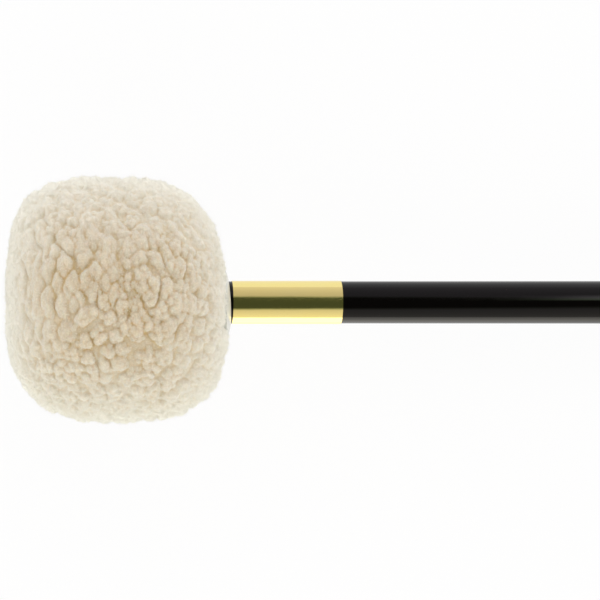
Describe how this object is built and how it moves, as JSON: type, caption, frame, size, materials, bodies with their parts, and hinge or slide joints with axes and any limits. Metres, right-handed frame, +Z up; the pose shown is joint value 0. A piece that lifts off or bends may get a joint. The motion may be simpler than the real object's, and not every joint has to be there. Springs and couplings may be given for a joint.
{
  "type": "gong mallet",
  "caption": "Gong mallet: a soft, squarish fleece-covered head, wound with felt over a rubber core, on a long turned black handle with a foil band at its neck.",
  "frame": {"origin": "on the ground, under the middle of the bounding box, with the mallet lying at rest on its head and the lower edge of its butt", "axes": "+X along the ground from the head towards the butt, +Y to the side, +Z up; the handle slopes down along +X by 6.6 degrees"},
  "size_m": [0.3794, 0.094, 0.0948],
  "materials": {
    "black_lacquer": "gloss",
    "gold_foil": "polished",
    "core_rubber": "matte",
    "fitting_steel": "satin",
    "felt": "matte",
    "cream_fleece": "matte",
    "linen_thread": "matte",
    "white_collar": "satin"
  },
  "bodies": {
    "root": {"handle": "black_lacquer", "foil_label": "gold_foil", "core": "core_rubber", "front_washer": "fitting_steel", "rear_washer": "fitting_steel", "core_screw": "fitting_steel", "felt_wrap": "felt", "front_felt_disc": "felt", "rear_felt_disc": "felt", "fleece_cover": "cream_fleece", "front_gather_thread": "linen_thread", "rear_gather_thread": "linen_thread", "seam_thread": "linen_thread", "rear_collar": "white_collar"}
  },
  "joints": []
}
